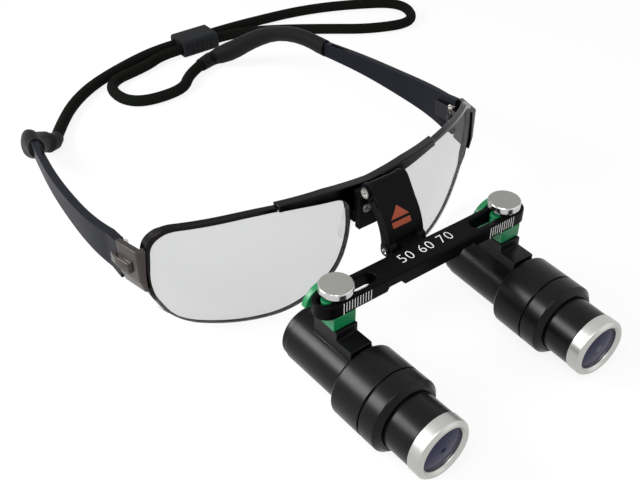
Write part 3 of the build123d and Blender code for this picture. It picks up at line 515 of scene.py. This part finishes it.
def extrusion(name, outline, half_width):
    """A bar along X with the given outline of (Y, Z) points in millimetres."""
    bm = bmesh.new()
    face = bm.faces.new([bm.verts.new(place(-half_width, y, z)) for y, z in outline])
    grown = bmesh.ops.extrude_face_region(bm, geom=[face])["geom"]
    moved = [item for item in grown if isinstance(item, bmesh.types.BMVert)]
    bmesh.ops.translate(bm, vec=(2 * half_width * MM, 0, 0), verts=moved)
    return closed_mesh(name, bm)


def print_on(name, node, shapes):
    """Flat prints on a node's front skin: each shape is a convex, clockwise outline in X and Z."""
    whole = bmesh.new()
    for outline in shapes:
        bm = merged_copy(node)
        bm.normal_update()
        hidden = [face for face in bm.faces if face.normal.y > FACES_FRONT]
        bmesh.ops.delete(bm, geom=hidden, context="FACES")
        for (x, z), (next_x, next_z) in zip(outline, outline[1:] + outline[:1]):
            bmesh.ops.bisect_plane(
                bm, geom=bm.verts[:] + bm.edges[:] + bm.faces[:], plane_co=place(x, 0, z),
                plane_no=Vector((z - next_z, 0, next_x - x)), clear_outer=True, dist=MERGE,
            )
        bm.normal_update()
        for vert in bm.verts:
            vert.co += vert.normal * PRINT_LIFT * MM
        part = as_mesh(name, bm)
        whole.from_mesh(part)
        bpy.data.meshes.remove(part)
    return as_mesh(name, whole)


def lettering(name, text, size, matrix):
    """Flat, slightly thinned figures as a mesh, placed by a matrix."""
    curve = bpy.data.curves.new(name, "FONT")
    curve.body = text
    curve.size = size * MM
    curve.align_x = "CENTER"
    curve.align_y = "CENTER"
    curve.extrude = 0.03 * MM
    curve.offset = -0.09 * MM
    curve.space_character = 1.12
    curve.resolution_u = 3
    holder = bpy.data.objects.new(name, curve)
    mesh = bpy.data.meshes.new_from_object(holder)
    bpy.data.objects.remove(holder)
    mesh.transform(matrix)
    return mesh


def ramp(value, start, run):
    """0 up to the start, 1 past the run, and straight between."""
    return min(1.0, max(0.0, (value - start) / run))


# ---------------------------------------------------------------- sizes and colours to change
class LOUPES_PG_stage(bpy.types.PropertyGroup):
    """Camera and light"""

    lens: bpy.props.FloatProperty(
        name="Lens", description="Camera focal length in mm", default=50.63, unit="CAMERA"
    )
    key_power: bpy.props.FloatProperty(
        name="Key", description="Key lamp power in watts", default=2.2, unit="POWER"
    )
    floor: bpy.props.FloatVectorProperty(
        name="Floor", description="Colour of the table", default=(0.93, 0.93, 0.93),
        subtype="COLOR", size=3,
    )


class LOUPES_PG_barrels(bpy.types.PropertyGroup):
    """Barrel finish"""

    black: bpy.props.FloatVectorProperty(
        name="Black", description="Anodised black", default=(0.002, 0.002, 0.0025),
        subtype="COLOR", size=3,
    )
    ring: bpy.props.FloatVectorProperty(
        name="Ring", description="Silver ring", default=(0.46, 0.46, 0.44),
        subtype="COLOR", size=3,
    )


class LOUPES_PG_clamps(bpy.types.PropertyGroup):
    """Bar, knobs and carriages"""

    green: bpy.props.FloatVectorProperty(
        name="Green", description="Carriage plastic", default=(0.003, 0.155, 0.052),
        subtype="COLOR", size=3,
    )
    tick_count: bpy.props.IntProperty(
        name="Ticks", description="Scale ticks on each side", default=11, min=2
    )
    figures: bpy.props.StringProperty(
        name="Figures", description="Plain scale figures", default="50 60 70"
    )


class LOUPES_PG_frame(bpy.types.PropertyGroup):
    """Spectacle frame colours"""

    plate: bpy.props.FloatVectorProperty(
        name="Plate", description="End piece metal", default=(0.055, 0.047, 0.044),
        subtype="COLOR", size=3,
    )
    rim: bpy.props.FloatVectorProperty(
        name="Rim", description="Rim metal", default=(0.008, 0.0065, 0.007),
        subtype="COLOR", size=3,
    )
    temple: bpy.props.FloatVectorProperty(
        name="Temple", description="Temple plastic", default=(0.0070, 0.0076, 0.0112),
        subtype="COLOR", size=3,
    )


class LOUPES_PG_strap(bpy.types.PropertyGroup):
    """Strap"""

    cord_diameter: bpy.props.FloatProperty(
        name="Cord", description="Diameter of the cord", default=5.2 * MM, unit="LENGTH"
    )


GROUPS = {
    "loupes_stage": LOUPES_PG_stage,
    "loupes_barrels": LOUPES_PG_barrels,
    "loupes_clamps": LOUPES_PG_clamps,
    "loupes_frame": LOUPES_PG_frame,
    "loupes_strap": LOUPES_PG_strap,
}


# ---------------------------------------------------------------- operators
class LOUPES_OT_stage(bpy.types.Operator):
    """Table, background, lamps and camera"""

    bl_idname = "loupes.stage"
    bl_label = "Stage"

    EYE = (-152.06, -151.71, 208.10)
    AZIMUTH = -36.609
    ELEVATION = 38.175
    ROLL = 0.257
    SENSOR = 36.0
    # Each lamp's place, aim and size, and its power as a share of the key's.
    LAMPS = {
        "key": ((-336, 215, 253), (-20, 0, 15), (190, 190), 1.0),
        "top": ((-200, -120, 430), (0, 30, 20), (260, 200), 0.45),
        "fill": ((330, -330, 260), (10, 0, 10), (450, 450), 0.15),
    }
    SKY = (0.95, 0.97, 1.0)
    SKY_STRENGTH = 0.55
    WHITE = (1.0, 1.0, 1.0)
    # How much of the table's own shade gives way to plain white where it is seen.
    TABLE_GLOW = 0.86
    TABLE_HALF = 3.0
    TABLE_DROP = 0.0002

    def execute(self, context):
        sizes = context.scene.loupes_stage
        scene = context.scene
        scene.view_settings.view_transform = "Standard"
        self.camera(scene, sizes.lens)
        self.world(scene)
        self.floor(scene, sizes.floor)
        for name, (position, target, size, share) in self.LAMPS.items():
            self.lamp(scene, name, position, target, size, sizes.key_power * share)
        return {"FINISHED"}

    def camera(self, scene, lens):
        """The view, from the wearer's right and above."""
        azimuth = math.radians(self.AZIMUTH)
        elevation = math.radians(self.ELEVATION)
        roll = math.radians(self.ROLL)
        ahead = Vector((
            -math.sin(azimuth) * math.cos(elevation),
            math.cos(azimuth) * math.cos(elevation),
            -math.sin(elevation),
        ))
        level = ahead.cross(Vector((0, 0, 1))).normalized()
        under = ahead.cross(level)
        right = math.cos(roll) * level + math.sin(roll) * under
        down = -math.sin(roll) * level + math.cos(roll) * under
        data = bpy.data.cameras.new("view")
        data.sensor_width = self.SENSOR
        data.lens = lens
        data.clip_start = 0.01
        data.clip_end = 20
        camera = bpy.data.objects.new("view", data)
        turn = Matrix((right, -down, -ahead)).transposed()
        camera.matrix_world = Matrix.Translation(place(*self.EYE)) @ turn.to_4x4()
        scene.collection.objects.link(camera)
        scene.camera = camera

    def world(self, scene):
        """An even studio: white where it is seen or mirrored, softer where it lights."""
        scene.world = bpy.data.worlds.new("studio")
        nodes = Nodes(scene.world)
        light = nodes.node("ShaderNodeBackground", Color=self.SKY, Strength=self.SKY_STRENGTH)
        white = nodes.node("ShaderNodeBackground", Color=self.WHITE, Strength=1.0)
        mix = nodes.node("ShaderNodeMixShader", _0=nodes.seen(), _1=light, _2=white)
        nodes.node("ShaderNodeOutputWorld", Surface=mix)

    def floor(self, scene, colour):
        """A wide pale table that keeps the object's shadow faintly."""
        bm = bmesh.new()
        bmesh.ops.create_grid(bm, x_segments=1, y_segments=1, size=self.TABLE_HALF)
        mesh = as_mesh("table", bm)
        finish = Finish("table", Roughness=0.9, Specular_IOR_Level=0.0)
        dust = finish.noise(900.0)
        finish.feed("Base Color", finish.shades(dust, colour, 1.0, 1.01))
        glow = finish.node("ShaderNodeEmission", Color=self.WHITE, Strength=1.0)
        share = finish.seen() * self.TABLE_GLOW
        mix = finish.node("ShaderNodeMixShader", _0=share, _1=finish.shader, _2=glow)
        fill(finish.tree, finish.surface.inputs["Surface"], mix)
        mesh.materials.append(finish.material)
        table = bpy.data.objects.new("table", mesh)
        table.location.z = -self.TABLE_DROP
        scene.collection.objects.link(table)

    def lamp(self, scene, name, position, target, size, power):
        """A soft rectangular lamp that looks at a point."""
        data = bpy.data.lights.new(name, "AREA")
        data.shape = "RECTANGLE"
        data.size = size[0] * MM
        data.size_y = size[1] * MM
        data.energy = power
        lamp = bpy.data.objects.new(name, data)
        here = place(*position)
        aim = (place(*target) - here).to_track_quat("-Z", "Y")
        lamp.matrix_world = Matrix.Translation(here) @ aim.to_matrix().to_4x4()
        scene.collection.objects.link(lamp)


class LOUPES_OT_strap(bpy.types.Operator):
    """Round cord from sleeve to sleeve, and its slider"""

    bl_idname = "loupes.strap"
    bl_label = "Strap"

    # Height of the cord's middle on the table, and in the slider.
    TABLE = 2.7
    STRAND = 3.8
    START = (-44.8, 182.8, 3.3)
    RIGHT_ROUTE = [(-37.0, 194.5), (-25.0, 208.0), (-10.0, 218.6), (10.5, 226.8)]
    FAR_STRAND = [(28.5, 229.8), (50.0, 229.8), (71.5, 229.8)]
    BIG_LOOP = [
        (91.0, 230.4), (117.0, 227.0), (142.5, 217.5), (168.5, 201.5), (157.5, 177.9),
        (133.0, 185.5), (113.5, 200.5), (93.0, 215.0),
    ]
    NEAR_STRAND = [(71.5, 223.4), (50.0, 223.4), (28.5, 223.4)]
    SMALL_LOOP = [(18.4, 219.6), (-6.5, 215.1), (-5.8, 189.9), (20.5, 187.3), (31.0, 200.0)]
    END = (39.7, 203.5, 3.3)
    LENGTH = 0.4995

    def execute(self, context):
        diameter = context.scene.loupes_strap.cord_diameter
        route = [self.START]
        for stretch, height in (
            (self.RIGHT_ROUTE, self.TABLE), (self.FAR_STRAND, self.STRAND),
            (self.BIG_LOOP, self.TABLE), (self.NEAR_STRAND, self.STRAND),
            (self.SMALL_LOOP, self.TABLE),
        ):
            route += [(x, y, height) for x, y in stretch]
        route.append(self.END)
        line = bpy.data.curves.new("strap_line", "CURVE")
        line.dimensions = "3D"
        line.resolution_u = 12
        spline = line.splines.new("NURBS")
        spline.points.add(len(route) - 1)
        for control, point in zip(spline.points, route):
            control.co = (*place(*point), 1)
        spline.order_u = 3
        spline.use_endpoint_u = True
        line.bevel_depth = diameter / 2
        line.bevel_resolution = 6
        line.materials.append(woven_cord())
        cord = bpy.data.objects.new("strap_cord", line)
        context.scene.collection.objects.link(cord)
        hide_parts("cord_right", "cord_loop", "cord_left")
        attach(cord, "front")
        rubber = moulded("slider_rubber", (0.012, 0.0125, 0.0135), 0.55, grain_size=0.4)
        slider = dress("cord_slider", rubber, bevel=0.25)
        tuple(place(*self.START))
        return {"FINISHED"}


class LOUPES_OT_barrels(bpy.types.Operator):
    """Both barrels: housing, eyepiece, body, collar, tube, silver ring and lens"""

    bl_idname = "loupes.barrels"
    bl_label = "Barrels"

    BLACK_NODES = (
        "rear_housing", "eyepiece_ring", "barrel_body", "focus_collar", "objective_tube"
    )
    GLASS_NODES = ("eyepiece_lens", "objective_lens", "prism")

    def execute(self, context):
        sizes = context.scene.loupes_barrels
        black = black_anodised(tuple(sizes.black))
        steel = machined("ring_steel", tuple(sizes.ring), 0.36, stretch=LATHE_LINES, size=0.25)
        glass = coated_glass()
        for side in SIDES:
            for node in self.BLACK_NODES:
                dress(f"{node}_{side}", black, bevel=0.2)
            dress(f"objective_ring_{side}", steel, bevel=0.18)
            for node in self.GLASS_NODES:
                dress(f"{node}_{side}", glass)
        return {"FINISHED"}


class LOUPES_OT_clamps(bpy.types.Operator):
    """Bar with its scale, carriages and knobs"""

    bl_idname = "loupes.clamps"
    bl_label = "Bar and clamps"

    # Ticks: the first's place, their step, every how many one is long, and their sizes. The
    # drop is from the bar's top edge to a tick.
    FIRST_TICK = 24.2
    TICK_STEP = 1
    TICKS_TO_LONG = 5
    LONG_TICK = 4.3
    SHORT_TICK = 3.5
    TICK_WIDTH = 0.26
    TICK_DROP = 0.5
    # A print's thickness, and how far its middle stands off the bar.
    PRINT = 0.05
    PROUD = 0.01
    CENTRING_AT = (-26.4, -2.7)
    CENTRING_LINE = (3.9, 0.18)
    FIGURES_AT = (1.0, 0.4)
    FIGURE_SIZE = 5.4

    def execute(self, context):
        sizes = context.scene.loupes_clamps
        bar = moulded("bar_black", (0.002, 0.002, 0.0024), 0.36, specular=0.035)
        dress("loupe_bar", bar, bevel=0.2)
        green = moulded("carriage_green", tuple(sizes.green), 0.32, spread=0.12, specular=0.35)
        for side in SIDES:
            dress("carriage_" + side, green, bevel=0.25)
            dress("knob_" + side, knob_steel("knob_steel_" + side, KNOB_AXIS[side]), bevel=0.15)
        self.scale(sizes.tick_count, sizes.figures)
        return {"FINISHED"}

    def scale(self, count, figures):
        """White ticks on the bar's front face, one centring line and plain figures on top."""
        white = paint("scale_white", (0.75, 0.75, 0.73))
        bars = []
        for sign in SIDES.values():
            for i in range(count):
                tall = self.SHORT_TICK if i % self.TICKS_TO_LONG else self.LONG_TICK
                across = sign * (self.FIRST_TICK + i * self.TICK_STEP)
                middle = BAR_TOP - self.TICK_DROP - tall / 2
                centre = place(across, BAR_FRONT - self.PROUD, middle)
                bars.append((centre, (self.TICK_WIDTH, self.PRINT, tall), None))
        top = BAR_TOP + self.PROUD
        bars.append((place(*self.CENTRING_AT, top), (*self.CENTRING_LINE, self.PRINT), None))
        finish_piece("scale_ticks", blocks("scale_ticks", bars), white, "loupe_bar")
        matrix = Matrix.Translation(place(*self.FIGURES_AT, top))
        mesh = lettering("scale_figures", figures, self.FIGURE_SIZE, matrix)
        finish_piece("scale_figures", mesh, white, "loupe_bar")


class LOUPES_OT_flip(bpy.types.Operator):
    """Flip arm, its bracket and their pins and screws"""

    bl_idname = "loupes.flip"
    bl_label = "Flip arm"

    # A triangle over a bar, in X and Z.
    MARK = [
        [(-4.6, 43.9), (-1.0, 47.0), (2.6, 43.9)],
        [(-4.6, 43.1), (2.6, 43.1), (2.6, 41.4), (-4.6, 41.4)],
    ]
    # The cover starts and ends at these points, in Y and Z, and follows two arcs about the pivot
    # between them: each a radius and its degrees.
    COVER_START = (13.0, 47.3)
    COVER_END = (14.3, 47.3)
    COVER_ARCS = ((3.65, range(34, 83, 8)), (3.08, range(82, -15, -8)))
    COVER_HALF_WIDTH = 7.0
    # Radius of the bright screw in each pin's head. A pin's recess is a share of its head's
    # height, and a bracket screw's is in millimetres.
    BRIGHT_RADIUS = {"flip_pin": 1.75, "tilt_pin": 0.95}
    PIN_RECESS = 0.62
    SCREW_RECESS = 1.9

    def execute(self, context):
        black = moulded("arm_black", (0.003, 0.003, 0.0034), 0.45)
        dress("flip_arm", black, bevel=0.25)
        dress("mount_bracket", black, bevel=0.25)
        self.cover(black)
        mark = print_on("arm_mark", "flip_arm", self.MARK)
        orange = paint("mark_orange", (0.30, 0.055, 0.020), 0.6)
        finish_piece("arm_mark", mark, orange, "flip_arm")
        for node, bright_radius in self.BRIGHT_RADIUS.items():
            self.pin(node, bright_radius)
        self.screws()
        return {"FINISHED"}

    def cover(self, black):
        """The arm's skin carried on round its pivot, ahead of the bracket's ears."""
        pivot = node_middle("flip_pin") / MM
        outline = [self.COVER_START]
        for radius, angles in self.COVER_ARCS:
            for angle in angles:
                turn = math.radians(angle)
                y = pivot.y - ORIGIN_Y - radius * math.cos(turn)
                outline.append((y, pivot.z + radius * math.sin(turn)))
        outline.append(self.COVER_END)
        mesh = extrusion("arm_cover", outline, self.COVER_HALF_WIDTH)
        finish_piece("arm_cover", mesh, black, "flip_arm", bevel=0.12)

    def pin(self, node, bright_radius):
        """A pin with a cross recess in each of its two heads."""
        low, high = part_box(node)
        middle = node_middle(node)
        bars = []
        for x in (low[0], high[0]):
            length = self.PIN_RECESS * (high[2] - low[2]) / MM
            bars += cross_recess(Vector((x, middle.y, middle.z)), "X", length)
        pin = dress(node, pin_steel(node + "_steel", middle, bright_radius), bevel=0.12)
        cut_from(pin, blocks("recess", bars))

    def screws(self):
        """The bracket's two screws, one node, with a cross recess in each head."""
        low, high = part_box("bracket_screws")
        radius = (high[2] - low[2]) / 2
        bars = []
        for x in (low[0] + radius, high[0] - radius):
            head = Vector((x, low[1], (low[2] + high[2]) / 2))
            bars += cross_recess(head, "Y", self.SCREW_RECESS)
        screws = dress("bracket_screws", machined("dim_steel", (0.30, 0.30, 0.29), 0.3), bevel=0.12)
        cut_from(screws, blocks("recess", bars))


class LOUPES_OT_front(bpy.types.Operator):
    """Brow bar, rims, lenses, saddle and end pieces"""

    bl_idname = "loupes.front"
    bl_label = "Spectacle front"

    # Centre of the sphere that the lenses follow, and its radius at the middle of the rims.
    WRAP_CENTRE = (0.0, 132.200, 31.000)
    WRAP_MIDDLE = 105.8
    # The lower wire reaches this far from the lens's edge, and keeps this share of its depth.
    THIN = 0.45
    FLAT = 0.5
    # The full reach, kept in part along the brow and in full at the end piece's seat.
    FULL = 1.5
    BROW_KEPT = 0.6
    # Start and run of each change: up to the brow, out to the seat and up to the seat.
    BROW = (34, 9)
    SEAT_OUT = (61, 3)
    SEAT_UP = (15, 4)
    # The slot in a hinge screw's head, and its turn in radians.
    SLOT = (0.45, 4.0, 0.7)
    SLOT_TURN = 0.4

    def execute(self, context):
        sizes = context.scene.loupes_frame
        rim = gunmetal("rim_metal", tuple(sizes.rim), 0.2)
        plate = gunmetal("plate_metal", tuple(sizes.plate), 0.3)
        dress("brow_bar", rim, bevel=0.3)
        dress("nose_saddle", silicone(), bevel=0.5)
        lens = clear_lens()
        steel = machined("hinge_steel", (0.60, 0.58, 0.54), 0.25)
        for side in SIDES:
            self.taper(dress("rim_" + side, rim, bevel=0.14), frame["nodes"]["lens_" + side])
            dress("lens_" + side, lens)
            dress("end_piece_" + side, plate, bevel=0.2)
            self.hinge_screw("hinge_screw_" + side, steel)
        return {"FINISHED"}

    def hinge_screw(self, node, steel):
        """An upright screw with a slot across its head."""
        screw = dress(node, steel, bevel=0.1)
        middle = node_middle(node)
        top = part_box(node)[1][2]
        turn = Matrix.Rotation(self.SLOT_TURN, 4, "Z")
        slot = [(Vector((middle.x, middle.y, top)), self.SLOT, turn)]
        cut_from(screw, blocks("slot", slot))

    def taper(self, rim, lens):
        """Draws the rim's wire in towards the lens's edge, except at the brow and end piece."""
        edge = BVHTree.FromObject(lens, bpy.context.evaluated_depsgraph_get())
        centre = place(*self.WRAP_CENTRE)
        middle = self.WRAP_MIDDLE * MM
        for vert in rim.data.vertices:
            height = vert.co.z / MM
            seat = ramp(abs(vert.co.x) / MM, *self.SEAT_OUT) * ramp(height, *self.SEAT_UP)
            keep = max(self.BROW_KEPT * ramp(height, *self.BROW), seat)
            near = edge.find_nearest(vert.co)[0]
            away = vert.co - near
            reach = (self.THIN + (self.FULL - self.THIN) * keep) * MM
            if away.length > reach:
                vert.co = near + away * (reach / away.length)
            radial = vert.co - centre
            depth = (radial.length - middle) * (self.FLAT + (1 - self.FLAT) * keep)
            vert.co = centre + radial.normalized() * (middle + depth)


class LOUPES_OT_temples(bpy.types.Operator):
    """Temple arms, hinge leaves and soft ear sleeves"""

    bl_idname = "loupes.temples"
    bl_label = "Temples"

    def execute(self, context):
        sizes = context.scene.loupes_frame
        satin = moulded("temple_satin", tuple(sizes.temple), 0.4, spread=0.12)
        rubber = moulded(
            "sleeve_rubber", (0.0062, 0.0062, 0.0068), 0.5, spread=0.2, specular=0.06,
            grain_size=0.5, depth=0.03,
        )
        steel = machined("leaf_steel", (0.03, 0.03, 0.033), 0.3)
        for side in SIDES:
            dress("temple_arm_" + side, satin, bevel=0.35)
            dress("temple_hinge_" + side, steel, bevel=0.1)
            dress("ear_sleeve_" + side, rubber)
        return {"FINISHED"}


class LOUPES_PT_panel(bpy.types.Panel):
    """Lists the loupes' operators and sizes"""

    bl_idname = "LOUPES_PT_panel"
    bl_label = "Flip-up Loupes"
    bl_space_type = "VIEW_3D"
    bl_region_type = "UI"
    bl_category = "Loupes"

    def draw(self, context):
        layout = self.layout
        for operator in OPERATORS:
            layout.operator(operator.bl_idname)
        for name, group in GROUPS.items():
            box = layout.box()
            box.label(text=group.__doc__)
            for key in group.__annotations__:
                box.prop(getattr(context.scene, name), key)


OPERATORS = (
    LOUPES_OT_stage,
    LOUPES_OT_strap,
    LOUPES_OT_barrels,
    LOUPES_OT_clamps,
    LOUPES_OT_flip,
    LOUPES_OT_front,
    LOUPES_OT_temples,
)
CLASSES = (*GROUPS.values(), *OPERATORS, LOUPES_PT_panel)


def register():
    """Registers the classes and gives each scene its sizes."""
    for entry in CLASSES:
        bpy.utils.register_class(entry)
    for name, group in GROUPS.items():
        setattr(bpy.types.Scene, name, bpy.props.PointerProperty(type=group))


def unregister():
    """Takes the sizes and the classes away again."""
    for name in GROUPS:
        delattr(bpy.types.Scene, name)
    for entry in reversed(CLASSES):
        bpy.utils.unregister_class(entry)


def main():
    """Builds everything in order."""
    register()
    bpy.ops.loupes.stage()
    bpy.ops.loupes.strap()
    bpy.ops.loupes.barrels()
    bpy.ops.loupes.clamps()
    bpy.ops.loupes.flip()
    bpy.ops.loupes.front()
    bpy.ops.loupes.temples()


if __name__ == "__main__":
    main()
